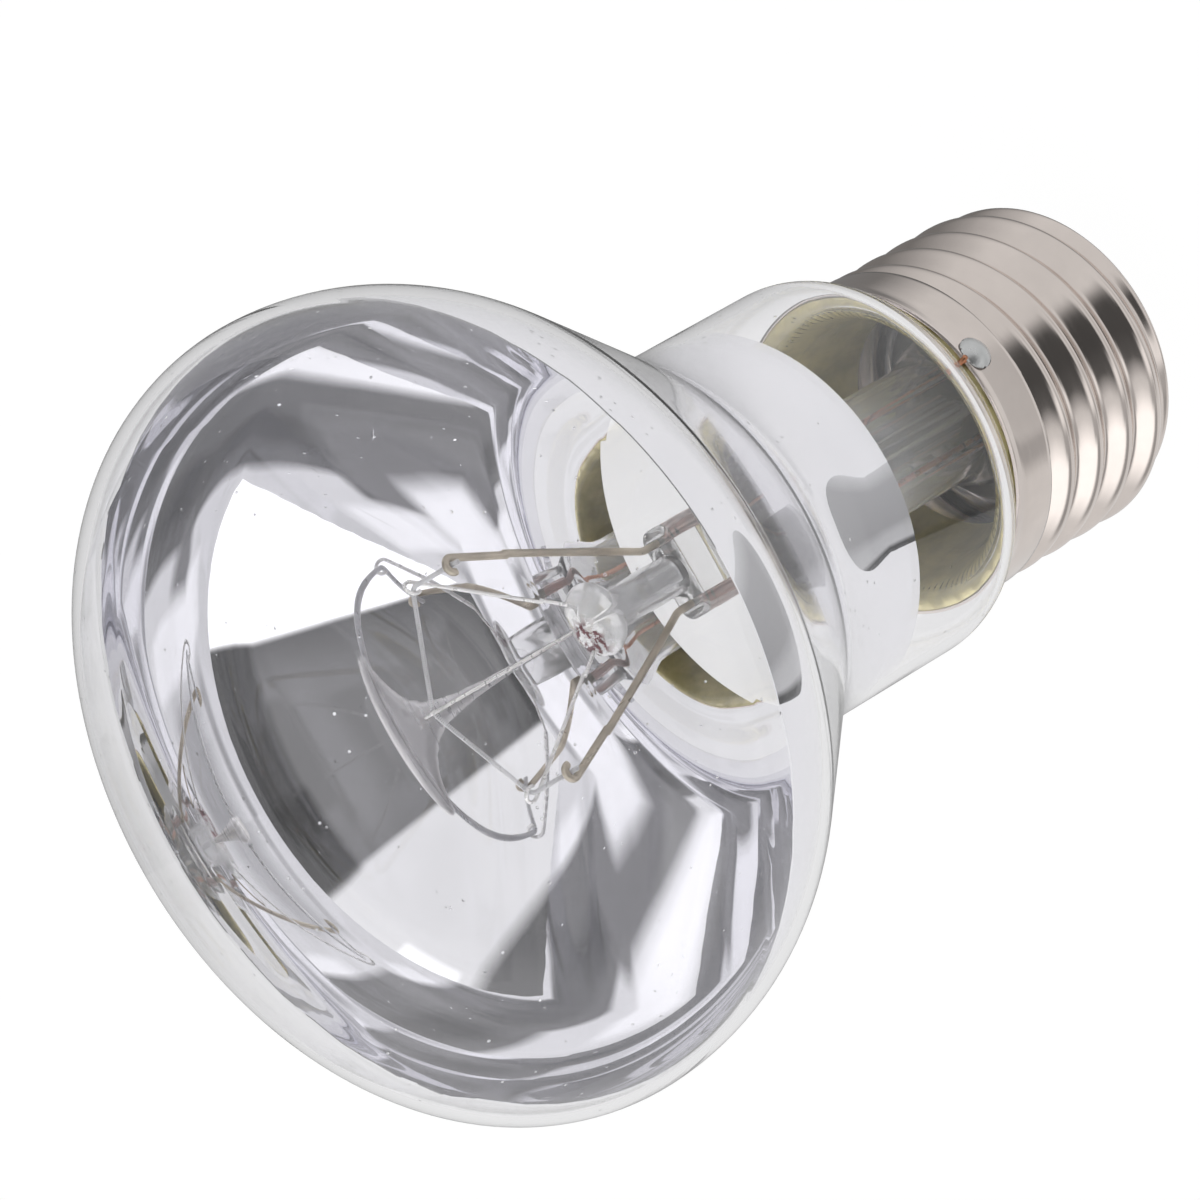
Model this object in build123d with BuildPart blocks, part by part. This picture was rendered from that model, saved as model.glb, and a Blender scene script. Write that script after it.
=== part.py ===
from build123d import *
from math import acos, asin, atan2, cos, degrees, hypot, radians, sin, sqrt, tan
import os

# A clear-faced reflector heat lamp on an E27 screw cap. Sizes are in millimetres and degrees.
# The origin is the tip of the centre contact, and +Z runs from the cap to the glass face.

# Glass bulb
overall_length = 95.0
bulb_diameter = 63.0
neck_diameter = 30.8
glass_wall = 0.8
dome_radius = 51.5
shoulder_radius = 10.9
bowl_radius = 17.7
throat_radius = 18.0
cone_angle = 35.0
corner_radius = 4.0
waist_radius = 1.5
taper_angle = 12.0
neck_rise = 0.7

# Mirror coating inside the bowl, from its slanting edge at the widest point to the front of the neck
film_thickness = 0.1
film_clearance = 0.02
mirror_rear_run = 2.9
mirror_edge_tilt = 5.35

# Screw cap
cap_length = 27.0
thread_diameter = 26.3
thread_depth = 1.05
thread_pitch = 3.629
thread_turns = 5.787
ridge_width = 2.9
crest_width = 0.7
crest_chamfer = 0.4
ridge_sink = 0.1
shell_wall = 0.3
skirt_height = 4.2
skirt_diameter = 26.4
rim_flare = 0.15
rim_height = 0.8
shell_start_z = 6.5
shell_curl_radius = 2.6
curl_clearance = 0.1
lip_radius = 10.2

# Insulator, centre contact and solder
solder_height = 1.1
solder_radius = 3.2
solder_flat_radius = 1.5
contact_radius = 4.8
contact_thickness = 0.5
contact_bore_radius = 0.8
shank_wall = 0.5
shank_length = 2.4
insulator_depth = 2.6
side_solder_radius = 1.3
side_solder_height = 0.5

# Cement that holds the glass in the cap
cement_gap = 1.3
cement_depth = 9.0
cement_bead = 0.25

# Glass stem
seal_z = 15.0
flare_wall = 1.0
flare_height = 6.0
stem_radius = 5.0
press_start_z = 40.0
press_shoulder = 3.5
press_height = 7.0
press_width = 7.6
press_thickness = 3.8
press_corner = 1.2
press_round = 0.45
exhaust_radius = 1.9
exhaust_wall = 0.6
exhaust_tip_z = 17.0
exhaust_tip_length = 3.0
arbor_radius = 1.6
button_z = 60.6
button_radius = 2.9
button_height = 2.8

# Wires and filament
lead_radius = 0.3
lead_spacing = 5.2
lead_straight = 2.0
lead_bend_radius = 2.0
weld_depth = 1.5
seal_tail = 1.5
outer_lead_radius = 0.22
outer_lead_bend = 1.2
outer_lead_floor = 1.6
rim_bend = 0.45
rim_overhang = 0.4
side_lead_angle = -77.0
wire_clearance = 0.3
rim_clearance = 0.05
filament_z = 70.0
filament_span = 17.2
filament_ring_radius = 10.0
filament_radius = 0.2
filament_bend = 0.6
filament_tail = 0.8
hook_clearance = 0.05
hook_turn = 200.0
support_radius = 0.15
support_angles = (30.0, 90.0, 150.0)
support_depth = 1.5
support_loop_radius = 0.6
support_loop_turn = 250.0

# Values worked out from the sizes above
bulb_radius = bulb_diameter / 2
neck_radius = neck_diameter / 2
thread_radius = thread_diameter / 2
root_radius = thread_radius - thread_depth
thread_bore = root_radius - shell_wall
skirt_radius = skirt_diameter / 2
skirt_bore = skirt_radius - shell_wall
skirt_z = cap_length - skirt_height
thread_height = thread_turns * thread_pitch
thread_start_z = skirt_z + ridge_width / 2 - thread_height
core_start_z = thread_start_z - thread_pitch
curl_axis_radius = thread_radius + curl_clearance - shell_curl_radius
dome_angle = degrees(asin((bulb_radius - shoulder_radius) / (dome_radius - shoulder_radius)))
cone_drop = bulb_radius - neck_radius - (bowl_radius + throat_radius) * (1 - cos(radians(cone_angle)))
cone_length = cone_drop / sin(radians(cone_angle))
widest_z = overall_length - dome_radius + (dome_radius - shoulder_radius) * cos(radians(dome_angle))
cone_end_z = widest_z - bowl_radius * sin(radians(cone_angle)) - cone_length * cos(radians(cone_angle))
neck_end_z = cone_end_z - throat_radius * sin(radians(cone_angle))
mirror_rear_z = neck_end_z - mirror_rear_run
mirror_reach = widest_z - mirror_rear_z + bulb_radius * tan(radians(mirror_edge_tilt))
mouth_radius = skirt_bore - cement_gap
corner_cosine = (corner_radius + waist_radius * cos(radians(taper_angle)) - neck_radius + mouth_radius) / (
    corner_radius + waist_radius
)
corner_angle = degrees(acos(corner_cosine))
corner_z = cap_length + neck_rise + corner_radius * sin(radians(corner_angle))
press_top_z = press_start_z + press_shoulder + press_height
weld_z = press_top_z - weld_depth
seal_wire_z = press_start_z - seal_tail
contact_top_z = solder_height + contact_thickness
lead_x = lead_spacing / 2
hook_radius = lead_radius + filament_radius + hook_clearance


def bulb_outline(inset):
    """Draws the bulb's profile from the apex to the seal, moved inward, and returns its two ends."""
    dome = JernArc((0, overall_length - inset), (1, 0), dome_radius - inset, -dome_angle)
    shoulder = JernArc(dome @ 1, dome % 1, shoulder_radius - inset, dome_angle - 90)
    bowl = JernArc(shoulder @ 1, shoulder % 1, bowl_radius - inset, -cone_angle)
    cone = Line(bowl @ 1, bowl @ 1 + (bowl % 1) * cone_length)
    throat = JernArc(cone @ 1, cone % 1, throat_radius + inset, cone_angle)
    neck = Line(throat @ 1, (neck_radius - inset, corner_z))
    corner = JernArc(neck @ 1, neck % 1, corner_radius - inset, -corner_angle)
    waist = JernArc(corner @ 1, corner % 1, waist_radius + inset, corner_angle - taper_angle)
    waist_end = waist @ 1
    seal_end = (waist_end.X - (waist_end.Y - seal_z) * tan(radians(taper_angle)), seal_z)
    taper = Line(waist_end, seal_end)
    return dome @ 0, taper @ 1


def wall_outline(inset, thickness):
    """Draws the closed section of a layer of the bulb's wall, and returns its two radii at the seal."""
    outer_apex, outer_seal = bulb_outline(inset)
    inner_apex, inner_seal = bulb_outline(inset + thickness)
    Line(outer_apex, inner_apex)
    Line(outer_seal, inner_seal)
    return outer_seal.X, inner_seal.X


def radial_plane(angle):
    """The upright half plane at this angle about the lamp's axis: x runs outward and y runs up."""
    across = (cos(radians(angle)), sin(radians(angle)), 0)
    return Plane((0, 0, 0), x_dir=across, z_dir=(across[1], -across[0], 0))


def tangent_point(start, centre, radius):
    """Where a straight line from start touches the circle, on the circle's right-hand side."""
    across, up = centre[0] - start[0], centre[1] - start[1]
    heading = atan2(up, across) - asin(radius / hypot(across, up))
    run = sqrt(across**2 + up**2 - radius**2)
    return start[0] + run * cos(heading), start[1] + run * sin(heading)


def taper_radius(end_radius, z):
    """Outer radius of the glass inside the cap, which tapers to end_radius at the seal."""
    return end_radius + (z - seal_z) * tan(radians(taper_angle))


# Glass bulb, blown in one piece down to the seal inside the cap
with BuildPart() as glass_bulb:
    with BuildSketch(Plane.XZ):
        with BuildLine():
            seal_outer, seal_inner = wall_outline(0, glass_wall)
        make_face()
    revolve(axis=Axis.Z)

# Mirror coating on the bowl and the front of the neck
with BuildPart() as mirror_coating:
    with BuildSketch(Plane.XZ):
        with BuildLine():
            wall_outline(glass_wall + film_clearance, film_thickness)
        make_face()
        with Locations((0, mirror_rear_z)):
            Rectangle(bulb_radius, mirror_reach, align=(Align.MIN, Align.MIN), mode=Mode.INTERSECT)
    revolve(axis=Axis.Z)
    edge_slope = (0, -sin(radians(mirror_edge_tilt)), cos(radians(mirror_edge_tilt)))
    split(bisect_by=Plane((0, 0, widest_z), x_dir=(1, 0, 0), z_dir=edge_slope), keep=Keep.BOTTOM)

# Cap shell: a core, a rolled right-hand ridge and a plain skirt, turned in at the contact end
with BuildPart() as cap_shell:
    with BuildLine():
        helix = Helix(thread_pitch, thread_height, root_radius, center=(0, 0, thread_start_z))
    with BuildSketch(Plane(helix @ 0, x_dir=(1, 0, 0), z_dir=helix % 0)):
        with BuildLine():
            Polyline(
                (-ridge_sink, -ridge_width / 2),
                (thread_depth - crest_chamfer, -crest_width / 2 - crest_chamfer),
                (thread_depth, -crest_width / 2),
                (thread_depth, crest_width / 2),
                (thread_depth - crest_chamfer, crest_width / 2 + crest_chamfer),
                (-ridge_sink, ridge_width / 2),
                close=True,
            )
        make_face()
    sweep(path=helix, is_frenet=True)
    with BuildSketch(Plane.XZ):
        with BuildLine():
            Polyline(
                (0, core_start_z),
                (root_radius, core_start_z),
                (root_radius, skirt_z - thread_depth),
                (skirt_radius, skirt_z),
                (skirt_radius, cap_length - rim_height),
                (skirt_radius + rim_flare, cap_length),
                (0, cap_length),
                close=True,
            )
        make_face()
    revolve(axis=Axis.Z)
    with BuildSketch(Plane.XZ):
        with BuildLine():
            curl_start = Line((0, shell_start_z), (curl_axis_radius, shell_start_z))
            curl = JernArc(curl_start @ 1, (1, 0), shell_curl_radius, 90)
            Polyline(
                curl @ 1,
                (bulb_radius, shell_start_z + shell_curl_radius),
                (bulb_radius, core_start_z - thread_pitch),
                (0, core_start_z - thread_pitch),
                (0, shell_start_z),
            )
        make_face()
    revolve(axis=Axis.Z, mode=Mode.SUBTRACT)
    with BuildSketch(Plane.XZ):
        with BuildLine():
            Polyline(
                (0, shell_start_z),
                (lip_radius, shell_start_z),
                (lip_radius, shell_start_z + shell_wall),
                (thread_bore, shell_start_z + shell_curl_radius),
                (thread_bore, skirt_z - thread_depth),
                (skirt_bore, skirt_z),
                (skirt_bore, cap_length),
                (0, cap_length),
                close=True,
            )
        make_face()
    revolve(axis=Axis.Z, mode=Mode.SUBTRACT)

# Black glass insulator, moulded into the turned-in end of the shell
with BuildPart() as cap_insulator:
    with BuildSketch(Plane.XZ):
        with BuildLine():
            Polyline(
                (contact_bore_radius + shank_wall, contact_top_z),
                (contact_radius, contact_top_z),
                (lip_radius, shell_start_z),
                (lip_radius, shell_start_z + shell_wall),
                (thread_bore, shell_start_z + shell_curl_radius),
                (thread_bore, shell_start_z + shell_curl_radius + insulator_depth / 2),
                (lip_radius, shell_start_z + shell_curl_radius + insulator_depth),
                (contact_radius, contact_top_z + insulator_depth),
                (contact_bore_radius + shank_wall, contact_top_z + insulator_depth),
                close=True,
            )
        make_face()
    revolve(axis=Axis.Z)

# Brass centre contact: a plate with a hollow shank in the insulator
with BuildPart() as centre_contact:
    with BuildSketch(Plane.XZ):
        with BuildLine():
            Polyline(
                (contact_bore_radius, solder_height),
                (contact_radius, solder_height),
                (contact_radius, contact_top_z),
                (contact_bore_radius + shank_wall, contact_top_z),
                (contact_bore_radius + shank_wall, contact_top_z + shank_length),
                (contact_bore_radius, contact_top_z + shank_length),
                close=True,
            )
        make_face()
    revolve(axis=Axis.Z)

# Solder drop on the centre contact, with a flat worn on its tip
with BuildPart() as centre_solder:
    with BuildSketch(Plane.XZ):
        with BuildLine():
            tip = Line((0, 0), (solder_flat_radius, 0))
            drop = TangentArc(tip @ 1, (solder_radius, solder_height), tangent=(1, 0))
            Polyline(drop @ 1, (0, solder_height), (0, 0))
        make_face()
    revolve(axis=Axis.Z)

# Stem: a flared tube sealed to the bulb and pinched flat at the top round the two seal wires
with BuildPart() as stem:
    with BuildSketch(Plane.XZ):
        with BuildLine():
            Polyline(
                (seal_inner - flare_wall, seal_z),
                (seal_outer, seal_z),
                (seal_outer, seal_z - flare_wall),
                (seal_inner - flare_wall, seal_z - flare_wall),
                (stem_radius - flare_wall, seal_z + flare_height - flare_wall),
                (stem_radius - flare_wall, press_start_z),
                (stem_radius, press_start_z),
                (stem_radius, seal_z + flare_height),
                close=True,
            )
        make_face()
    revolve(axis=Axis.Z)
    with BuildSketch(Plane.XY.offset(press_start_z)):
        Circle(stem_radius)
    with BuildSketch(Plane.XY.offset(press_start_z + press_shoulder)):
        RectangleRounded(press_width, press_thickness, press_corner)
    loft()
    with BuildSketch(Plane.XY.offset(press_start_z + press_shoulder)):
        RectangleRounded(press_width, press_thickness, press_corner)
    extrude(amount=press_height)
    fillet(stem.faces().sort_by(Axis.Z)[-1].edges(), radius=press_round)
    with BuildSketch(Plane.XY.offset(press_start_z)):
        with Locations((lead_x, 0), (-lead_x, 0)):
            Circle(lead_radius)
    extrude(amount=press_shoulder + press_height, mode=Mode.SUBTRACT)

# Exhaust tube inside the stem, drawn to a closed tip
with BuildPart() as exhaust_tube:
    with BuildSketch(Plane.XZ):
        with BuildLine():
            Polyline(
                (0, exhaust_tip_z),
                (exhaust_radius, exhaust_tip_z + exhaust_tip_length),
                (exhaust_radius, press_start_z),
                (exhaust_radius - exhaust_wall, press_start_z),
                (exhaust_radius - exhaust_wall, exhaust_tip_z + exhaust_tip_length),
                (0, exhaust_tip_z + exhaust_wall),
                close=True,
            )
        make_face()
    revolve(axis=Axis.Z)

# Support wires in the button, each ending in a pigtail loop round the filament
support_foot = (button_radius - support_depth, button_z)
support_centre = (filament_ring_radius, filament_z)
support_touch = tangent_point(support_foot, support_centre, support_loop_radius)
support_wires = []
for number, angle in enumerate(support_angles, start=1):
    with BuildPart() as support_wire:
        with BuildLine(radial_plane(angle)) as support_line:
            rise = Line(support_foot, support_touch)
            JernArc(rise @ 1, rise % 1, support_loop_radius, support_loop_turn)
        with BuildSketch(Plane(rise @ 0, z_dir=rise % 0)):
            Circle(support_radius)
        sweep(path=support_line.line)
    support_wire.part.label = f"support_wire_{number}"
    support_wires.append(support_wire.part)

# Arbor rod with its flattened button, which takes the feet of the support wires
with BuildPart() as arbor_rod:
    with BuildSketch(Plane.XY.offset(press_top_z)):
        Circle(arbor_radius)
    extrude(amount=button_z - press_top_z)
    with BuildSketch(Plane.XZ):
        with BuildLine():
            crown = EllipticalCenterArc(
                (0, button_z), button_radius, button_height / 2, start_angle=-90, arc_size=180
            )
            Line(crown @ 1, crown @ 0)
        make_face()
    revolve(axis=Axis.Z)
    add(support_wires, mode=Mode.SUBTRACT)

# Inner leads, one on each side, hooked round the ends of the filament
lead_corner = (lead_x, press_top_z + lead_straight)
lead_tip = (filament_span / 2, filament_z)
lead_touch = tangent_point(lead_corner, lead_tip, hook_radius)
inner_leads = []
for number, angle in enumerate((0, 180), start=1):
    with BuildPart() as inner_lead:
        with BuildLine(radial_plane(angle)) as lead_line:
            run = FilletPolyline((lead_x, weld_z), lead_corner, lead_touch, radius=lead_bend_radius)
            JernArc(run @ 1, run % 1, hook_radius, hook_turn)
        with BuildSketch(Plane(run @ 0, z_dir=run % 0)):
            Circle(lead_radius)
        sweep(path=lead_line.line)
    inner_lead.part.label = f"inner_lead_{number}"
    inner_leads.append(inner_lead.part)

# Copper-clad seal wires through the press
seal_wires = []
for number, side in enumerate((lead_x, -lead_x), start=1):
    with BuildPart() as seal_wire:
        with BuildSketch(Plane.XY.offset(seal_wire_z)):
            with Locations((side, 0)):
                Circle(lead_radius)
        extrude(amount=weld_z - seal_wire_z)
    seal_wire.part.label = f"seal_wire_{number}"
    seal_wires.append(seal_wire.part)

# Outer lead to the centre contact, down to the solder
lead_floor_z = seal_z - flare_wall - outer_lead_floor
with BuildPart() as centre_lead:
    with BuildLine() as centre_line:
        FilletPolyline(
            (-lead_x, 0, seal_wire_z),
            (-lead_x, 0, lead_floor_z),
            (0, 0, contact_top_z + shank_length),
            (0, 0, solder_height),
            radius=outer_lead_bend,
        )
    with BuildSketch(Plane(centre_line.line @ 0, z_dir=centre_line.line % 0)):
        Circle(outer_lead_radius)
    sweep(path=centre_line.line)

# Outer lead to the side of the cap, under the seal, up through the cement and over the rim
rim_wire_z = cap_length + outer_lead_radius + rim_clearance
wire_offset = outer_lead_radius + wire_clearance
floor_wire_radius = taper_radius(seal_outer, lead_floor_z) + wire_offset
rim_wire_radius = taper_radius(seal_outer, rim_wire_z) + wire_offset
side_plane = radial_plane(side_lead_angle)
with BuildPart() as side_lead:
    with BuildLine() as side_line:
        FilletPolyline(
            (lead_x, 0, seal_wire_z),
            (lead_x, 0, lead_floor_z),
            side_plane.from_local_coords((floor_wire_radius, lead_floor_z, 0)),
            side_plane.from_local_coords((rim_wire_radius, rim_wire_z, 0)),
            side_plane.from_local_coords((skirt_radius + rim_flare + rim_overhang, rim_wire_z, 0)),
            radius=(outer_lead_bend, outer_lead_bend, rim_bend),
        )
    with BuildSketch(Plane(side_line.line @ 0, z_dir=side_line.line % 0)):
        Circle(outer_lead_radius)
    sweep(path=side_line.line)

# Cement ring between the glass and the shell, round the side lead
with BuildPart() as basing_cement:
    with BuildSketch(Plane.XZ):
        with BuildLine():
            Polyline(
                (0, cap_length - cement_depth),
                (thread_bore, cap_length - cement_depth),
                (thread_bore, skirt_z - thread_depth),
                (skirt_bore, skirt_z),
                (skirt_bore, cap_length + cement_bead),
                (0, cap_length + cement_bead),
                close=True,
            )
        make_face()
        with BuildLine():
            apex, seal = bulb_outline(0)
            Polyline(seal, (0, seal_z), apex)
        make_face(mode=Mode.SUBTRACT)
    revolve(axis=Axis.Z)
    add(side_lead.part, mode=Mode.SUBTRACT)

# Flat drop of solder on the outside of the skirt, under the end of the side lead
drop_radius = (side_solder_radius**2 + side_solder_height**2) / (2 * side_solder_height)
drop_centre = skirt_radius + rim_flare + side_solder_height - drop_radius
with BuildPart() as side_solder:
    with Locations(side_plane.from_local_coords((drop_centre, cap_length - side_solder_radius, 0))):
        Sphere(drop_radius)
    Cylinder(
        skirt_radius + rim_flare,
        overall_length,
        align=(Align.CENTER, Align.CENTER, Align.MIN),
        mode=Mode.SUBTRACT,
    )
    add(side_lead.part, mode=Mode.SUBTRACT)

# Coiled filament, as the tube that the coil fills, strung from lead to lead through the loops
with BuildPart() as filament:
    with BuildLine() as filament_line:
        lead_end = (filament_span / 2, -filament_tail, filament_z)
        far_end = (-filament_span / 2, -filament_tail, filament_z)
        loops = [radial_plane(angle).from_local_coords((*support_centre, 0)) for angle in support_angles]
        FilletPolyline(lead_end, *loops, far_end, radius=filament_bend)
    with BuildSketch(Plane(filament_line.line @ 0, z_dir=filament_line.line % 0)):
        Circle(filament_radius)
    sweep(path=filament_line.line)

glass_bulb.part.label = "glass_bulb"
mirror_coating.part.label = "mirror_coating"
cap_shell.part.label = "cap_shell"
cap_insulator.part.label = "cap_insulator"
centre_contact.part.label = "centre_contact"
centre_solder.part.label = "centre_solder"
side_solder.part.label = "side_solder"
basing_cement.part.label = "basing_cement"
stem.part.label = "stem"
exhaust_tube.part.label = "exhaust_tube"
arbor_rod.part.label = "arbor_rod"
centre_lead.part.label = "outer_lead_centre"
side_lead.part.label = "outer_lead_side"
filament.part.label = "filament"

os.makedirs("parts", exist_ok=True)
pieces = [
    glass_bulb.part,
    mirror_coating.part,
    cap_shell.part,
    cap_insulator.part,
    centre_contact.part,
    centre_solder.part,
    side_solder.part,
    basing_cement.part,
    stem.part,
    exhaust_tube.part,
    arbor_rod.part,
    centre_lead.part,
    side_lead.part,
    filament.part,
    *support_wires,
    *inner_leads,
    *seal_wires,
]
for piece in pieces:
    export_step(piece, f"parts/{piece.label}.step")
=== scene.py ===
import math

import bpy
from bpy.props import FloatProperty, FloatVectorProperty, IntProperty, PointerProperty
from mathutils import Matrix, Vector


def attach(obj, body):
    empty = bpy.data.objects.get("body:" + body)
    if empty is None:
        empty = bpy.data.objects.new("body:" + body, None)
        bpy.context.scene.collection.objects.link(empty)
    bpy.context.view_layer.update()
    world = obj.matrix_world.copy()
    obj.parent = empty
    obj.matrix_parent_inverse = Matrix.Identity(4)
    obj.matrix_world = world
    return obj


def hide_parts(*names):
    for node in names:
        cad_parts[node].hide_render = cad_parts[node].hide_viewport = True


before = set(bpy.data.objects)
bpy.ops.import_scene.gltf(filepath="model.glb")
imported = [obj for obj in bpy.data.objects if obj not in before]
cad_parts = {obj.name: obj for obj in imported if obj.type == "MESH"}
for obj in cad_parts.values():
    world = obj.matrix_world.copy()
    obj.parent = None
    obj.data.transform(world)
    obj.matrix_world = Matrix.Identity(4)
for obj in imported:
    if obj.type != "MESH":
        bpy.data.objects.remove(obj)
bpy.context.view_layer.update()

bl_info = {
    "name": "Reflector Heat Lamp",
    "version": (1, 0, 0),
    "blender": (4, 5, 0),
    "location": "3D View > Sidebar > Heat Lamp",
    "description": "Models a clear-faced reflector heat lamp on a screw cap",
    "category": "Add Mesh",
}

MM = 0.001
BODY = "root"

# Points of a mesh that are nearer than this are merged
MERGE = 0.001 * MM

# Share of a round speck's radius where it starts to fade
SPECK_CORE = 0.6

# Bearings of the support loops round the lamp's axis, in degrees from +X
SUPPORT_BEARINGS = (30.0, 90.0, 150.0)


def length(name, description, millimetres):
    """A length property with its default in millimetres."""
    return FloatProperty(
        name=name,
        description=description,
        default=millimetres * MM,
        subtype="DISTANCE",
        unit="LENGTH",
        precision=5,
    )


def angle(name, description, degrees):
    """An angle property with its default in degrees."""
    return FloatProperty(
        name=name, description=description, default=math.radians(degrees), subtype="ANGLE", unit="ROTATION"
    )


def colour(name, description, value):
    """A colour property."""
    return FloatVectorProperty(
        name=name, description=description, default=value, subtype="COLOR", size=3, min=0.0, max=1.0
    )


def number(name, description, value):
    """A plain number property."""
    return FloatProperty(name=name, description=description, default=value)


def count(name, description, value):
    """A whole number property."""
    return IntProperty(name=name, description=description, default=value, min=1)


class BulbSettings(bpy.types.PropertyGroup):
    """Sizes and colours of the blown glass bulb and its mirror."""

    overall: length("Overall length", "From the contact tip to the apex of the glass face", 95.0)
    bulb_radius: length("Bulb radius", "Largest radius of the bulb", 31.5)
    neck_radius: length("Neck radius", "Radius of the neck", 15.4)
    wall: length("Glass wall", "Thickness of the glass", 0.8)
    dome_radius: length("Dome radius", "Radius of the clear face", 51.5)
    shoulder_radius: length("Shoulder radius", "Radius of the edge between face and bowl", 10.9)
    bowl_radius: length("Bowl radius", "Radius of the bowl behind the widest point", 17.7)
    throat_radius: length("Throat radius", "Radius between the cone and the neck", 18.0)
    corner_radius: length("Corner radius", "Radius of the neck's turn towards the cap", 4.0)
    waist_radius: length("Waist radius", "Radius of the turn into the cap", 1.5)
    mouth_radius: length("Mouth radius", "Radius of the glass at the rim of the cap", 11.6)
    neck_rise: length("Neck rise", "Clearance between the rim and the turn of the neck", 0.7)
    seal_z: length("Seal height", "Height of the bulb's end, a hair above the flare of the stem", 15.02)
    cone_angle: angle("Cone angle", "Half angle of the conical part of the bowl", 35.0)
    taper_angle: angle("Taper angle", "Slope of the glass inside the cap", 12.0)
    film_gap: length("Film gap", "Space between the glass and the mirror film", 0.02)
    film: length("Film thickness", "Thickness of the mirror film", 0.1)
    mirror_rear_run: length("Mirror on the neck", "How far the mirror runs down the neck", 2.9)
    mirror_tilt: angle("Mirror edge slant", "Slant of the mirror's front edge at the widest point", 5.35)
    around: count("Segments", "Faces round the bulb", 192)
    glass_index: number("Glass index", "Index of refraction of the glass", 1.51)
    glass_wave: length("Glass waves", "Height of the waves in the glass", 0.01)
    film_wave: length("Mirror waves", "Height of the waves in the mirror", 0.015)
    glass_colour: colour("Glass", "Tint of the clear glass", (0.985, 0.983, 0.992))
    mirror_colour: colour("Mirror", "Colour of the aluminium film", (0.895, 0.893, 0.915))


class CapSettings(bpy.types.PropertyGroup):
    """Sizes and colours of the screw cap."""

    rim_z: length("Rim height", "Height of the rim above the contact tip", 27.0)
    skirt_z: length("Skirt height", "Height where the plain skirt starts", 22.8)
    skirt_radius: length("Skirt radius", "Radius of the plain skirt", 13.2)
    rim_flare: length("Rim flare", "How far the rim opens outward", 0.15)
    rim_height: length("Rim length", "Length of the opened rim", 0.8)
    root_radius: length("Root radius", "Radius at the root of the thread", 12.1)
    thread_depth: length("Thread depth", "Height of the thread over its root", 1.05)
    thread_fullness: number("Thread fullness", "Power that shapes the crests, fuller below one", 0.85)
    thread_gap: length("Thread gap", "From the end of the shell to the start of the thread", 0.1)
    run_in: length("Run-in", "Height over which the thread rises to its full depth", 2.3)
    pitch: length("Thread pitch", "Rise of the thread in one turn", 3.629)
    thread_start_z: length("Thread start", "Height of the ridge on the +X side, below the shell", 3.2485)
    start_z: length("Shell start", "Height of the turned-in end of the shell", 6.5)
    end_round: length("End rounding", "Radius of the edge of the turned-in end", 0.7)
    lip_radius: length("Lip radius", "Radius of the hole in the turned-in end", 10.2)
    wall: length("Sheet", "Thickness of the rolled sheet", 0.3)
    edge_round: length("Edge rounding", "Width of the rounding on the edges of the sheet", 0.06)
    around: count("Segments", "Faces round the cap", 160)
    nickel: colour("Nickel", "Colour of the plated sheet", (0.80, 0.725, 0.68))
    insulator: colour("Insulator", "Colour of the glass insulator", (0.012, 0.011, 0.014))
    brass: colour("Brass", "Colour of the contact plate", (0.78, 0.60, 0.30))
    solder: colour("Solder", "Colour of the tin solder", (0.66, 0.67, 0.67))
    cement: colour("Cement", "Colour of the basing cement", (0.56, 0.49, 0.23))


class MountSettings(bpy.types.PropertyGroup):
    """Sizes and colours of the stem, its wires and the filament."""

    filament_z: length("Filament height", "Height of the filament", 70.0)
    half_span: length("Half span", "Half the distance between the filament's ends", 8.6)
    tail: length("Filament tail", "How far the filament stands past the leads", 0.8)
    ring_radius: length("Ring radius", "Radius of the circle of support loops", 10.0)
    coil_radius: length("Coil radius", "Outer radius of the wound filament", 0.2)
    coil_pitch: length("Coil pitch", "Distance between the turns", 0.17)
    coil_steps: count("Coil steps", "Steps in one turn of the coil", 12)
    wire_radius: length("Filament wire", "Radius of the tungsten wire", 0.05)
    wire_sides: count("Wire sides", "Faces round the tungsten wire", 6)
    bend: length("Filament bend", "Rounding of the filament in the loops", 0.5)
    stem_index: number("Stem index", "Index of refraction of the stem's glass", 1.45)
    stem_wave: length("Stem waves", "Height of the waves in the stem's glass", 0.02)
    stem_frost: number("Stem frost", "Roughness of the stem's glass", 0.03)
    stem_clear: number("Stem clearness", "From milky at nought to clear at one", 0.89)
    button_clear: number("Button clearness", "The same for the rod and its button", 0.74)
    stem_colour: colour("Stem glass", "Tint of the stem", (0.985, 0.985, 0.98))
    scale_colour: colour("Scale", "Colour of the scale in the button", (0.10, 0.035, 0.04))
    scale_place: FloatVectorProperty(
        name="Scale place",
        description="Middle of the scale in the button",
        default=(-1.2 * MM, 0.5 * MM, 61.7 * MM),
        subtype="TRANSLATION",
        precision=5,
    )
    scale_radius: length("Scale radius", "How far the scale reaches from its middle", 2.2)
    lead_colour: colour("Leads", "Colour of the inner leads", (0.56, 0.50, 0.41))
    seal_colour: colour("Seal wires", "Colour of the copper-clad wires", (0.80, 0.52, 0.44))
    support_colour: colour("Supports", "Colour of the support wires", (0.80, 0.79, 0.78))
    tungsten: colour("Tungsten", "Colour of the filament", (0.74, 0.74, 0.75))
    copper: colour("Copper", "Colour of the outer leads", (0.66, 0.30, 0.17))


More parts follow.
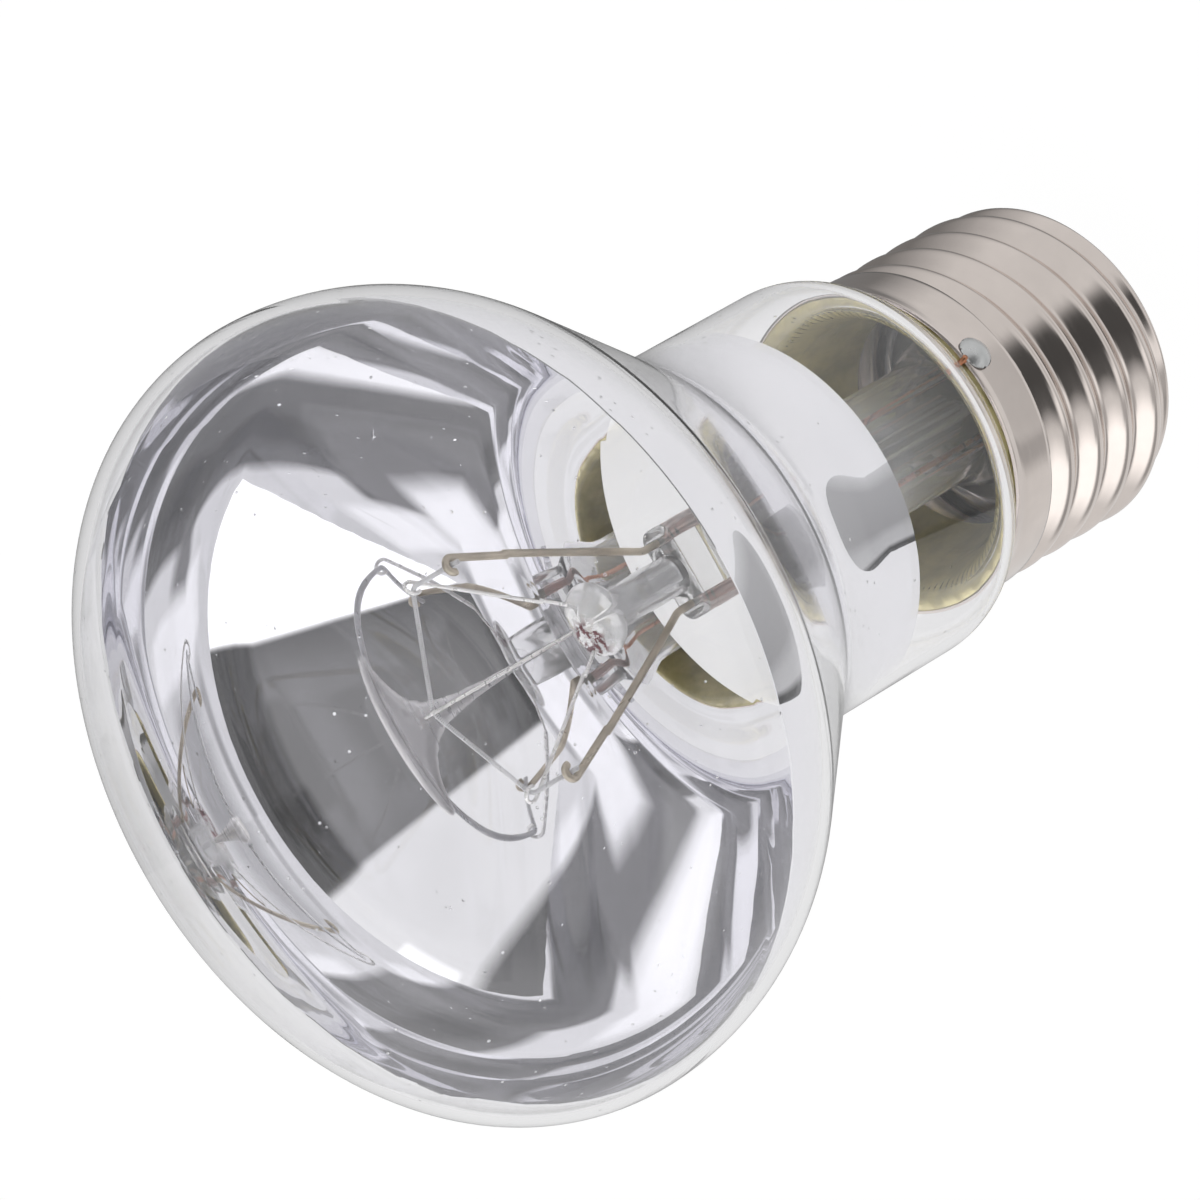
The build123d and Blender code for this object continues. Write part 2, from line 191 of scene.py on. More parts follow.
class StageSettings(bpy.types.PropertyGroup):
    """Floor, lights and camera."""

    floor_colour: colour("Floor", "Colour of the floor", (0.05, 0.05, 0.05))
    floor_glow: number("Floor glow", "Light of the floor as the camera sees it", 0.98)
    floor_dim: number("Floor in the glass", "Light of the floor through glass and on the lamp", 0.76)
    floor_radius: length("Floor radius", "Radius of the floor", 3000.0)
    floor_drop: length("Floor drop", "How far the floor lies below the contact tip", 0.3)
    card_width: length("Card width", "Width of the card that the neck mirrors", 41.0)
    card_length: length("Card length", "Length of that card, outward from the lamp", 64.0)
    card_corner: length("Card corner", "Rounding of that card's corners", 17.0)
    card_distance: length("Card distance", "From the lamp's axis to the middle of that card", 57.0)
    card_bearing: angle("Card bearing", "Bearing of that card from the camera's side", -26.0)
    sky: number("Studio light", "Strength of the even light in the bowl", 0.95)
    surround: number("Surround", "Strength of the even light on the cap and outside of the glass", 0.72)
    inner_light: number("Inner light", "How much stronger the light is on matt pieces behind glass", 3.2)
    backdrop: number("Backdrop", "Brightness of the plain backdrop", 1.0)
    bounces: count("Light bounces", "How often light is followed on, in all and through glass", 24)
    mirror_bounces: count("Mirror bounces", "How often light is followed on from mirrors", 12)
    sensor: number("Sensor", "Width of the camera's sensor in millimetres", 36.0)
    lens: number("Lens", "Focal length of the camera in millimetres", 255.0)
    distance: length("Distance", "From the camera to the aimed point", 624.32)
    aim_z: length("Aim height", "Height of the aimed point on the axis", 55.0)
    tilt: angle("Tilt", "Angle between the lamp's axis and the line of sight", 47.543)
    roll: angle("Roll", "Turn of the picture", 30.062)
    shift_right: length("Right", "Distance of the aimed point right of the picture's middle", 3.237)
    shift_down: length("Down", "Distance of the aimed point below the picture's middle", -0.644)


class HeatLampSettings(bpy.types.PropertyGroup):
    """All settings of the lamp."""

    bulb: PointerProperty(type=BulbSettings)
    cap: PointerProperty(type=CapSettings)
    mount: PointerProperty(type=MountSettings)
    stage: PointerProperty(type=StageSettings)


# Modelling helpers


def start_outline(name, x, z):
    """Starts a piece as one vertex in the XZ plane, in edit mode."""
    bpy.ops.object.select_all(action="DESELECT")
    bpy.ops.mesh.primitive_plane_add(size=MM)
    piece = bpy.context.object
    piece.name = name
    piece.data.name = name
    bpy.ops.object.mode_set(mode="EDIT")
    bpy.ops.mesh.select_all(action="SELECT")
    bpy.ops.mesh.merge(type="CENTER")
    bpy.ops.transform.translate(value=(x, 0.0, z))
    return piece


def draw_line(dx, dz, parts):
    """Draws on from the selected vertex along a straight run."""
    step = (dx / parts, 0.0, dz / parts)
    for _ in range(parts):
        bpy.ops.mesh.extrude_region_move(TRANSFORM_OT_translate={"value": step})


def draw_arc(x, z, turn, steps):
    """Draws on from the selected vertex along an arc about a point in the XZ plane."""
    bpy.ops.mesh.spin(steps=steps, angle=turn, center=(x, 0.0, z), axis=(0.0, -1.0, 0.0))


def turn_outline(around):
    """Turns the drawn outline round the lamp's axis and closes its seams and poles."""
    bpy.ops.mesh.select_all(action="SELECT")
    bpy.ops.mesh.spin(steps=around, angle=2 * math.pi, center=(0.0, 0.0, 0.0), axis=(0.0, 0.0, 1.0))
    bpy.ops.mesh.select_all(action="SELECT")
    bpy.ops.mesh.remove_doubles(threshold=MERGE)
    bpy.ops.mesh.normals_make_consistent(inside=False)
    bpy.ops.object.mode_set(mode="OBJECT")


def give_wall(piece, thickness):
    """Thickens a turned surface inward."""
    wall = piece.modifiers.new("Wall", "SOLIDIFY")
    wall.thickness = thickness
    wall.offset = -1.0
    wall.use_even_offset = True
    bpy.ops.object.modifier_apply(modifier=wall.name)


def copy_node(node, name):
    """A copy of a CAD node's mesh with its loose triangles merged."""
    bpy.ops.object.select_all(action="DESELECT")
    piece = bpy.data.objects.new(name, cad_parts[node].data.copy())
    piece.data.name = name
    bpy.context.scene.collection.objects.link(piece)
    bpy.context.view_layer.objects.active = piece
    piece.select_set(True)
    bpy.ops.object.mode_set(mode="EDIT")
    bpy.ops.mesh.select_all(action="SELECT")
    bpy.ops.mesh.remove_doubles(threshold=MERGE)
    bpy.ops.object.mode_set(mode="OBJECT")
    return piece


def finish_piece(piece, material, node, crease=40.0):
    """Smooths a piece, gives it its finish and puts it in the place of a CAD node."""
    bpy.ops.object.select_all(action="DESELECT")
    bpy.context.view_layer.objects.active = piece
    piece.select_set(True)
    bpy.ops.object.shade_smooth_by_angle(angle=math.radians(crease))
    piece.data.materials.clear()
    piece.data.materials.append(material)
    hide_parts(node)
    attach(piece, BODY)


def dress_copy(node, name, material):
    """Puts a dressed copy of a CAD node in the node's place."""
    finish_piece(copy_node(node, name), material, node)


# Material helpers


def new_finish(name):
    """A new material, its node tree and its shader."""
    material = bpy.data.materials.new(name)
    material.use_nodes = True
    return material, material.node_tree, material.node_tree.nodes["Principled BSDF"]


def place(tree, scale=(1.0, 1.0, 1.0)):
    """Object coordinates, stretched."""
    coordinates = tree.nodes.new("ShaderNodeTexCoord")
    mapping = tree.nodes.new("ShaderNodeMapping")
    mapping.inputs["Scale"].default_value = scale
    tree.links.new(coordinates.outputs["Object"], mapping.inputs["Vector"])
    return mapping.outputs["Vector"]


def noise(tree, vector, scale, detail=2.0, roughness=0.5):
    """A noise pattern."""
    node = tree.nodes.new("ShaderNodeTexNoise")
    node.inputs["Scale"].default_value = scale
    node.inputs["Detail"].default_value = detail
    node.inputs["Roughness"].default_value = roughness
    tree.links.new(vector, node.inputs["Vector"])
    return node.outputs["Fac"]


def ramp(tree, factor, stops):
    """A colour ramp over a pattern."""
    node = tree.nodes.new("ShaderNodeValToRGB")
    elements = node.color_ramp.elements
    elements[0].position, elements[0].color = stops[0][0], (*stops[0][1], 1.0)
    elements[1].position, elements[1].color = stops[-1][0], (*stops[-1][1], 1.0)
    for position, value in stops[1:-1]:
        elements.new(position).color = (*value, 1.0)
    tree.links.new(factor, node.inputs["Fac"])
    return node.outputs["Color"]


def span(tree, factor, low, high, start=0.0, end=1.0):
    """Numbers from low to high, as a pattern goes from start to end."""
    node = tree.nodes.new("ShaderNodeMapRange")
    node.inputs["From Min"].default_value = start
    node.inputs["From Max"].default_value = end
    node.inputs["To Min"].default_value = low
    node.inputs["To Max"].default_value = high
    tree.links.new(factor, node.inputs["Value"])
    return node.outputs["Result"]


def specks(tree, vector, scale, size):
    """Sparse round specks."""
    node = tree.nodes.new("ShaderNodeTexVoronoi")
    node.inputs["Scale"].default_value = scale
    tree.links.new(vector, node.inputs["Vector"])
    return span(tree, node.outputs["Distance"], 1.0, 0.0, start=size * SPECK_CORE, end=size)


def bump(tree, shader, height, distance):
    """Relief from a pattern, added to any relief that the shader has."""
    node = tree.nodes.new("ShaderNodeBump")
    node.inputs["Strength"].default_value = 1.0
    node.inputs["Distance"].default_value = distance
    tree.links.new(height, node.inputs["Height"])
    if shader.inputs["Normal"].is_linked:
        tree.links.new(shader.inputs["Normal"].links[0].from_socket, node.inputs["Normal"])
    tree.links.new(node.outputs["Normal"], shader.inputs["Normal"])


def calculate(tree, operation, *values):
    """One step of arithmetic on values that are numbers or sockets."""
    node = tree.nodes.new("ShaderNodeMath")
    node.operation = operation
    for socket, value in zip(node.inputs, values):
        if isinstance(value, bpy.types.NodeSocket):
            tree.links.new(value, socket)
        else:
            socket.default_value = value
    return node.outputs["Value"]


def blend(tree, mask, first, second):
    """The first value where the mask is nought and the second where it is one."""
    node = tree.nodes.new("ShaderNodeMix")
    tree.links.new(mask, node.inputs["Factor"])
    for socket, value in zip((node.inputs["A"], node.inputs["B"]), (first, second)):
        if isinstance(value, bpy.types.NodeSocket):
            tree.links.new(value, socket)
        else:
            socket.default_value = value
    return node.outputs["Result"]


def shade(value, factor):
    """A colour made lighter or darker."""
    return tuple(min(1.0, part * factor) for part in value)


def glass_finish(name, tint, index, wave, clear=1.0, frost=0.0):
    """Glass with slight waves and a few seeds, quite clear or a little milky and frosted."""
    material, tree, shader = new_finish(name)
    shader.inputs["Base Color"].default_value = (*tint, 1.0)
    shader.inputs["IOR"].default_value = index
    shader.inputs["Transmission Weight"].default_value = clear
    vector = place(tree)
    dust = noise(tree, vector, scale=900.0, detail=4.0, roughness=0.6)
    rough = span(tree, dust, frost, frost + 0.03, start=0.62, end=0.8)
    tree.links.new(rough, shader.inputs["Roughness"])
    bump(tree, shader, noise(tree, vector, scale=90.0, detail=1.0), wave)
    bump(tree, shader, specks(tree, vector, scale=420.0, size=0.05), 0.02 * MM)
    return material


def metal_finish(name, value, rough, grain, relief, stretch=(1.0, 1.0, 1.0), spread=0.12, bare=1.0):
    """Metal with drawn or brushed grain and cloudy tarnish, bare or partly dulled."""
    material, tree, shader = new_finish(name)
    shader.inputs["Metallic"].default_value = bare
    cloud = noise(tree, place(tree), scale=160.0, detail=4.0, roughness=0.6)
    stops = [(0.3, shade(value, 1.0 - spread)), (0.55, value), (0.75, shade(value, 1.0 + spread))]
    tree.links.new(ramp(tree, cloud, stops), shader.inputs["Base Color"])
    lines = noise(tree, place(tree, stretch), scale=grain, detail=3.0, roughness=0.6)
    roughness = span(tree, lines, rough * 0.7, rough * 1.4, start=0.3, end=0.7)
    tree.links.new(roughness, shader.inputs["Roughness"])
    bump(tree, shader, lines, relief)
    return material


# The bulb and its mirror


def bulb_shape(bulb, rim_z):
    """Angles and places of the bulb's outline, from its sizes."""
    shoulder_x = bulb.bulb_radius - bulb.shoulder_radius
    dome_reach = bulb.dome_radius - bulb.shoulder_radius
    dome_angle = math.asin(shoulder_x / dome_reach)
    widest_z = bulb.overall - bulb.dome_radius + dome_reach * math.cos(dome_angle)
    bends = bulb.bowl_radius + bulb.throat_radius
    cone_width = bulb.bulb_radius - bulb.neck_radius - bends * (1 - math.cos(bulb.cone_angle))
    cone_height = cone_width / math.tan(bulb.cone_angle)
    neck_end_z = widest_z - bends * math.sin(bulb.cone_angle) - cone_height
    reach = bulb.corner_radius + bulb.waist_radius
    corner_x = bulb.neck_radius - bulb.corner_radius
    waist_x = bulb.mouth_radius + bulb.waist_radius * math.cos(bulb.taper_angle)
    corner_angle = math.acos((waist_x - corner_x) / reach)
    corner_z = rim_z + bulb.neck_rise + bulb.corner_radius * math.sin(corner_angle)
    waist_z = corner_z - reach * math.sin(corner_angle)
    drop = waist_z + bulb.waist_radius * math.sin(bulb.taper_angle) - bulb.seal_z
    return {
        "dome_angle": dome_angle,
        "shoulder_x": shoulder_x,
        "shoulder_angle": math.pi / 2 - dome_angle,
        "widest_z": widest_z,
        "cone_run": (-cone_width, -cone_height),
        "neck_end_z": neck_end_z,
        "corner_x": corner_x,
        "corner_z": corner_z,
        "corner_angle": corner_angle,
        "waist_centre": (waist_x, waist_z),
        "waist_angle": bulb.taper_angle - corner_angle,
        "taper_run": (-drop * math.tan(bulb.taper_angle), -drop),
    }


def draw_bowl(bulb, shape, bowl_steps):
    """Draws on from the widest point along the bowl and its cone to the neck."""
    draw_arc(bulb.bulb_radius - bulb.bowl_radius, shape["widest_z"], bulb.cone_angle, steps=bowl_steps)
    draw_line(*shape["cone_run"], parts=6)
    draw_arc(bulb.neck_radius + bulb.throat_radius, shape["neck_end_z"], -bulb.cone_angle, steps=20)


class LAMP_OT_glass_bulb(bpy.types.Operator):
    """Draws the bulb's outline with arcs, turns it and gives it a glass wall"""

    bl_idname = "heat_lamp.glass_bulb"
    bl_label = "Glass Bulb"

    def execute(self, context):
        bulb = context.scene.heat_lamp.bulb
        shape = bulb_shape(bulb, context.scene.heat_lamp.cap.rim_z)
        piece = start_outline("blown_bulb", 0.0, bulb.overall)
        draw_arc(0.0, bulb.overall - bulb.dome_radius, shape["dome_angle"], steps=24)
        draw_arc(shape["shoulder_x"], shape["widest_z"], shape["shoulder_angle"], steps=36)
        draw_bowl(bulb, shape, bowl_steps=20)
        draw_line(0.0, shape["corner_z"] - shape["neck_end_z"], parts=6)
        draw_arc(shape["corner_x"], shape["corner_z"], shape["corner_angle"], steps=20)
        draw_arc(*shape["waist_centre"], shape["waist_angle"], steps=10)
        draw_line(*shape["taper_run"], parts=3)
        turn_outline(bulb.around)
        give_wall(piece, bulb.wall)
        finish = glass_finish("clear_glass", bulb.glass_colour, bulb.glass_index, bulb.glass_wave)
        finish_piece(piece, finish, "glass_bulb")
        return {"FINISHED"}


class LAMP_OT_mirror(bpy.types.Operator):
    """Draws the mirrored part of the bowl just inside the glass and turns it"""

    bl_idname = "heat_lamp.mirror"
    bl_label = "Mirror Coating"

    def execute(self, context):
        bulb = context.scene.heat_lamp.bulb
        shape = bulb_shape(bulb, context.scene.heat_lamp.cap.rim_z)
        shoulder = bulb.shoulder_radius - bulb.wall - bulb.film_gap
        rise = bulb.bulb_radius * math.tan(bulb.mirror_tilt)
        front_angle = math.asin(rise / shoulder)
        front_x = shape["shoulder_x"] + shoulder * math.cos(front_angle)
        piece = start_outline("bowl_mirror", front_x, shape["widest_z"] + rise)
        draw_arc(shape["shoulder_x"], shape["widest_z"], front_angle, steps=10)
        draw_bowl(bulb, shape, bowl_steps=24)
        draw_line(0.0, -bulb.mirror_rear_run, parts=3)
        turn_outline(bulb.around)
        self.trim(bulb, shape["widest_z"])
        give_wall(piece, bulb.film)
        finish_piece(piece, self.finish(bulb), "mirror_coating")
        return {"FINISHED"}

    def trim(self, bulb, widest_z):
        """Cuts the mirror off at its slanting front edge."""
        slope = (0.0, -math.sin(bulb.mirror_tilt), math.cos(bulb.mirror_tilt))
        bpy.ops.object.mode_set(mode="EDIT")
        bpy.ops.mesh.select_all(action="SELECT")
        bpy.ops.mesh.bisect(plane_co=(0.0, 0.0, widest_z), plane_no=slope, clear_outer=True)
        bpy.ops.object.mode_set(mode="OBJECT")

    def finish(self, bulb):
        """Bright aluminium film on slightly wavy glass, with a few dull specks."""
        material, tree, shader = new_finish("mirror_film")
        vector = place(tree)
        dull = specks(tree, vector, scale=330.0, size=0.06)
        tree.links.new(span(tree, dull, 1.0, 0.0), shader.inputs["Metallic"])
        cloud = noise(tree, vector, scale=120.0, detail=3.0)
        stops = [(0.3, shade(bulb.mirror_colour, 0.97)), (0.7, bulb.mirror_colour)]
        tree.links.new(ramp(tree, cloud, stops), shader.inputs["Base Color"])
        rough = span(tree, cloud, 0.005, 0.03, start=0.35, end=0.75)
        tree.links.new(rough, shader.inputs["Roughness"])
        bump(tree, shader, noise(tree, vector, scale=80.0, detail=1.0), bulb.film_wave)
        return material


# The cap


class LAMP_OT_screw_cap(bpy.types.Operator):
    """Turns the cap's sheet, rolls the thread into it and gives it its thickness"""

    bl_idname = "heat_lamp.screw_cap"
    bl_label = "Screw Cap"

    def execute(self, context):
        cap = context.scene.heat_lamp.cap
        round_x = cap.root_radius - cap.end_round
        round_z = cap.start_z + cap.end_round
        piece = start_outline("rolled_shell", cap.lip_radius, cap.start_z)
        draw_line(round_x - cap.lip_radius, 0.0, parts=4)
        draw_arc(round_x, round_z, -math.pi / 2, steps=8)
        draw_line(0.0, cap.skirt_z - cap.thread_depth - round_z, parts=96)
        draw_line(cap.skirt_radius - cap.root_radius, cap.thread_depth, parts=10)
        draw_line(0.0, cap.rim_z - cap.rim_height - cap.skirt_z, parts=10)
        draw_line(cap.rim_flare, cap.rim_height, parts=4)
        turn_outline(cap.around)
        self.roll_thread(piece, cap)
        give_wall(piece, cap.wall)
        edge = piece.modifiers.new("Edge", "BEVEL")
        edge.width = cap.edge_round
        edge.segments = 2
        edge.angle_limit = math.radians(60)
        bpy.ops.object.modifier_apply(modifier=edge.name)
        finish_piece(piece, self.finish(cap), "cap_shell", crease=50.0)
        return {"FINISHED"}

    def roll_thread(self, piece, cap):
        """Presses the round thread outward, rising from the shell's end and ending in the skirt."""
        for vertex in piece.data.vertices:
            x, y, z = vertex.co
            above = z - cap.start_z - cap.thread_gap
            if above <= 0.0:
                continue
            radius = math.hypot(x, y)
            turns = (z - cap.thread_start_z) / cap.pitch - math.atan2(y, x) / (2 * math.pi)
            wave = (0.5 + 0.5 * math.cos(2 * math.pi * turns)) ** cap.thread_fullness
            missing = 1.0 - min(1.0, above / cap.run_in)
            risen = math.sqrt(1.0 - missing**2)
            ridge = cap.root_radius + cap.thread_depth * wave * risen
            if ridge > radius:
                vertex.co = (x * ridge / radius, y * ridge / radius, z)
        piece.data.update()

    def finish(self, cap):
        """Bright nickel plate with rolling marks and a little tarnish."""
        return metal_finish(
            "nickel_plate",
            cap.nickel,
            rough=0.13,
            grain=700.0,
            relief=0.004 * MM,
            stretch=(0.25, 0.25, 3.0),
            spread=0.07,
        )


class LAMP_OT_cap_end(bpy.types.Operator):
    """Dresses the insulator, the contact, the solder joints and the cement"""

    bl_idname = "heat_lamp.cap_end"
    bl_label = "Insulator, Contact, Solder and Cement"

    def execute(self, context):
        cap = context.scene.heat_lamp.cap
        brass = metal_finish("contact_brass", cap.brass, rough=0.28, grain=900.0, relief=0.006 * MM)
        tin = metal_finish(
            "solder", cap.solder, rough=0.32, grain=900.0, relief=0.06 * MM, spread=0.15, bare=0.8
        )
        dress_copy("cap_insulator", "glass_insulator", self.black_glass(cap))
        dress_copy("centre_contact", "contact_plate", brass)
        dress_copy("centre_solder", "contact_drop", tin)
        dress_copy("side_solder", "rim_drop", tin)
        dress_copy("basing_cement", "cement_ring", self.cement(cap))
        return {"FINISHED"}

    def black_glass(self, cap):
        """Black moulded glass."""
        material, tree, shader = new_finish("black_glass")
        vector = place(tree)
        cloud = noise(tree, vector, scale=300.0, detail=4.0)
        stops = [(0.3, cap.insulator), (0.8, shade(cap.insulator, 2.5))]
        tree.links.new(ramp(tree, cloud, stops), shader.inputs["Base Color"])
        rough = span(tree, cloud, 0.06, 0.2, start=0.3, end=0.7)
        tree.links.new(rough, shader.inputs["Roughness"])
        bump(tree, shader, noise(tree, vector, scale=250.0), 0.03 * MM)
        return material

    def cement(self, cap):
        """Olive cement with darker and paler patches."""
        material, tree, shader = new_finish("cement")
        vector = place(tree)
        cloud = noise(tree, vector, scale=260.0, detail=5.0, roughness=0.6)
        stops = [(0.3, shade(cap.cement, 0.7)), (0.5, cap.cement), (0.75, shade(cap.cement, 1.35))]
        tree.links.new(ramp(tree, cloud, stops), shader.inputs["Base Color"])
        tree.links.new(span(tree, cloud, 0.4, 0.7), shader.inputs["Roughness"])
        grit = noise(tree, vector, scale=1500.0, detail=4.0, roughness=0.6)
        bump(tree, shader, grit, 0.05 * MM)
        return material


# The stem, its wires and the filament


class LAMP_OT_stem(bpy.types.Operator):
    """Dresses the stem, the exhaust tube and the arbor rod"""

    bl_idname = "heat_lamp.stem"
    bl_label = "Stem and Arbor"

    def execute(self, context):
        mount = context.scene.heat_lamp.mount
        pressed = self.finish(mount, "stem_glass", mount.stem_clear)
        dress_copy("stem", "pressed_stem", pressed)
        dress_copy("exhaust_tube", "pump_tube", pressed)
        dress_copy("arbor_rod", "button_rod", self.scaled(mount))
        return {"FINISHED"}

    def finish(self, mount, name, clear):
        """Pressed glass, a little milky."""
        return glass_finish(
            name, mount.stem_colour, mount.stem_index, mount.stem_wave, clear=clear, frost=mount.stem_frost
        )

    def scaled(self, mount):
        """The stem's glass with dark crumbs of scale in the button."""
        material = self.finish(mount, "button_glass", mount.button_clear)
        tree = material.node_tree
        shader = tree.nodes["Principled BSDF"]
        vector = place(tree)
        apart = tree.nodes.new("ShaderNodeVectorMath")
        apart.operation = "DISTANCE"
        apart.inputs[1].default_value = mount.scale_place
        tree.links.new(vector, apart.inputs[0])
        core = mount.scale_radius * SPECK_CORE
        near = span(tree, apart.outputs["Value"], 1.0, 0.0, start=core, end=mount.scale_radius)
        grain = noise(tree, vector, scale=1500.0, detail=3.0, roughness=0.7)
        crumbs = span(tree, grain, 0.0, 1.0, start=0.47, end=0.53)
        mask = calculate(tree, "MULTIPLY", near, crumbs)
        stops = [(0.0, mount.stem_colour), (1.0, mount.scale_colour)]
        tree.links.new(ramp(tree, mask, stops), shader.inputs["Base Color"])
        tree.links.new(span(tree, mask, mount.button_clear, 0.0), shader.inputs["Transmission Weight"])
        return material


class LAMP_OT_wires(bpy.types.Operator):
    """Dresses the leads, the seal wires and the support wires"""

    bl_idname = "heat_lamp.wires"
    bl_label = "Leads and Supports"

    def execute(self, context):
        mount = context.scene.heat_lamp.mount
        lead = metal_finish(
            "lead_metal",
            mount.lead_colour,
            rough=0.34,
            grain=1200.0,
            relief=0.01 * MM,
            stretch=(1.0, 1.0, 0.2),
            spread=0.4,
            bare=0.6,
        )
        seal = metal_finish(
            "seal_copper",
            mount.seal_colour,
            rough=0.4,
            grain=1500.0,
            relief=0.01 * MM,
            stretch=(1.0, 1.0, 0.3),
            spread=0.3,
        )
        support = metal_finish(
            "support_metal", mount.support_colour, rough=0.3, grain=1500.0, relief=0.006 * MM, bare=0.5
        )
        copper = metal_finish(
            "copper_wire", mount.copper, rough=0.3, grain=1500.0, relief=0.01 * MM, spread=0.25
        )
        for side in (1, 2):
            dress_copy(f"inner_lead_{side}", f"lead_wire_{side}", lead)
            dress_copy(f"seal_wire_{side}", f"clad_wire_{side}", seal)
        for hook in (1, 2, 3):
            dress_copy(f"support_wire_{hook}", f"hook_wire_{hook}", support)
        dress_copy("outer_lead_centre", "contact_wire", copper)
        dress_copy("outer_lead_side", "rim_wire", copper)
        return {"FINISHED"}


class LAMP_OT_filament(bpy.types.Operator):
    """Winds the filament as a coil and bends it along its run through the support loops"""

    bl_idname = "heat_lamp.filament"
    bl_label = "Coiled Filament"

    def execute(self, context):
        mount = context.scene.heat_lamp.mount
        run = self.run(mount)
        run_length = run.data.splines[0].calc_length()
        coil = self.wind(mount, int(run_length / mount.coil_pitch))
        bend = coil.modifiers.new("Run", "CURVE")
        bend.object = run
        bend.deform_axis = "POS_X"
        bpy.ops.object.modifier_apply(modifier=bend.name)
        bpy.data.objects.remove(run)
        bpy.ops.object.mode_set(mode="EDIT")
        bpy.ops.mesh.select_all(action="SELECT")
        bpy.ops.mesh.fill_holes(sides=0)
        bpy.ops.mesh.normals_make_consistent(inside=False)
        bpy.ops.object.mode_set(mode="OBJECT")
        finish = metal_finish(
            "tungsten", mount.tungsten, rough=0.35, grain=2500.0, relief=0.003 * MM, spread=0.2, bare=0.5
        )
        finish_piece(coil, finish, "filament", crease=80.0)
        return {"FINISHED"}

    def run(self, mount):
        """The filament's run from lead to lead, as a curve."""
        stops = [Vector((mount.half_span, -mount.tail, mount.filament_z))]
        for bearing in SUPPORT_BEARINGS:
            x = mount.ring_radius * math.cos(math.radians(bearing))
            y = mount.ring_radius * math.sin(math.radians(bearing))
            stops.append(Vector((x, y, mount.filament_z)))
        stops.append(Vector((-mount.half_span, -mount.tail, mount.filament_z)))
        start_outline("filament_run", stops[0].x, stops[0].z)
        bpy.ops.transform.translate(value=(0.0, stops[0].y, 0.0))
        for here, there in zip(stops, stops[1:]):
            bpy.ops.mesh.extrude_region_move(TRANSFORM_OT_translate={"value": there - here})
        bpy.ops.mesh.select_all(action="SELECT")
        bpy.ops.mesh.bevel(offset=mount.bend, segments=6, affect="VERTICES")
        bpy.ops.object.mode_set(mode="OBJECT")
        bpy.ops.object.convert(target="CURVE")
        return bpy.context.object

    def wind(self, mount, turns):
        """The wire wound into a straight coil along X."""
        bpy.ops.object.select_all(action="DESELECT")
        bpy.ops.mesh.primitive_circle_add(
            vertices=mount.wire_sides, radius=mount.wire_radius, rotation=(math.pi / 2, 0.0, 0.0)
        )
        coil = bpy.context.object
        coil.name = "coiled_filament"
        coil.data.name = "coiled_filament"
        bpy.ops.object.transform_apply()
        bpy.ops.object.mode_set(mode="EDIT")
        bpy.ops.mesh.select_all(action="SELECT")
        bpy.ops.transform.translate(value=(0.0, 0.0, mount.coil_radius - mount.wire_radius))
        bpy.ops.object.mode_set(mode="OBJECT")
        winding = coil.modifiers.new("Winding", "SCREW")
        winding.axis = "X"
        winding.angle = 2 * math.pi
        winding.screw_offset = mount.coil_pitch
        winding.iterations = turns
        winding.steps = mount.coil_steps
        winding.render_steps = mount.coil_steps
        bpy.ops.object.modifier_apply(modifier=winding.name)
        return coil


# The stage

# Soft boxes and grey cards that the bowl shows after one reflection. Each row has two bearings from the
# camera's side and their softness, two angles from straight above and their softness, all in degrees, and a
# brightness. A later row lies over an earlier one
FIRST_BOUNCE = (
    (-93.0, -43.0, 1.0, -10.0, 100.0, 1.0, 1.6),
    (-43.0, 27.0, 1.0, -10.0, 100.0, 1.0, 0.26),
    (-43.0, 2.0, 1.0, 63.5, 100.0, 2.5, 0.07),
    (0.0, 27.0, 2.0, 62.5, 100.0, 2.5, 0.02),
    (50.0, 67.0, 1.0, 77.0, 100.0, 2.0, 1.5),
    (73.0, 240.0, 3.0, -10.0, 106.0, 2.0, 0.13),
)

# The same for what the bowl shows after two reflections or more
MORE_BOUNCES = (
    (-240.0, 240.0, 1.0, -10.0, 24.0, 3.0, 1.3),
    (-240.0, -95.0, 10.0, 27.0, 42.0, 4.0, 0.6),
    (95.0, 240.0, 10.0, 30.0, 46.0, 4.0, 0.5),
    (-80.0, -62.0, 4.0, 44.0, 64.0, 3.0, 1.3),
    (47.0, 84.0, 4.0, 30.0, 58.0, 3.0, 1.3),
    (-62.0, 40.0, 4.0, 25.5, 44.0, 2.5, 0.27),
    (-62.0, 20.0, 4.0, 41.0, 80.0, 3.0, 0.18),
    (-26.0, 4.0, 6.0, 42.0, 80.0, 4.0, 0.11),
)

# The same for what the cap and the outside of the glass show
SURROUND = (
    (-240.0, 240.0, 1.0, -10.0, 48.0, 4.0, 0.25),
    (-105.0, -58.0, 8.0, 50.0, 90.0, 4.0, 1.35),
    (-110.0, -45.0, 6.0, 95.0, 117.0, 3.0, 0.36),
    (-60.0, -40.0, 4.0, 80.0, 120.0, 4.0, 0.45),
    (-42.0, -22.0, 5.0, 92.0, 124.0, 4.0, 1.0),
    (-38.0, 16.0, 7.0, 45.0, 84.0, 6.0, 0.10),
    (-20.0, 12.0, 7.0, 45.0, 104.0, 6.0, 0.07),
    (-60.0, -38.0, 6.0, 128.0, 150.0, 2.0, 0.42),
    (-38.0, 26.0, 6.0, 128.0, 150.0, 2.0, 0.56),
    (100.0, 240.0, 22.0, 48.0, 190.0, 4.0, 0.20),
    (-240.0, -170.0, 14.0, 48.0, 190.0, 4.0, 0.22),
)

# Limits between whole counts: light above the first was reflected more than once, and light below the second
# went through fewer than three faces of glass
ONE_MIRROR = 1.5
THREE_FACES = 2.5

# Greys across the card, each with its place between the card's two long sides
CARD_GREYS = ((0.0, 0.10), (0.05, 0.10), (0.10, 0.55), (0.22, 0.50), (0.32, 0.36), (0.80, 0.42), (1.0, 0.66))


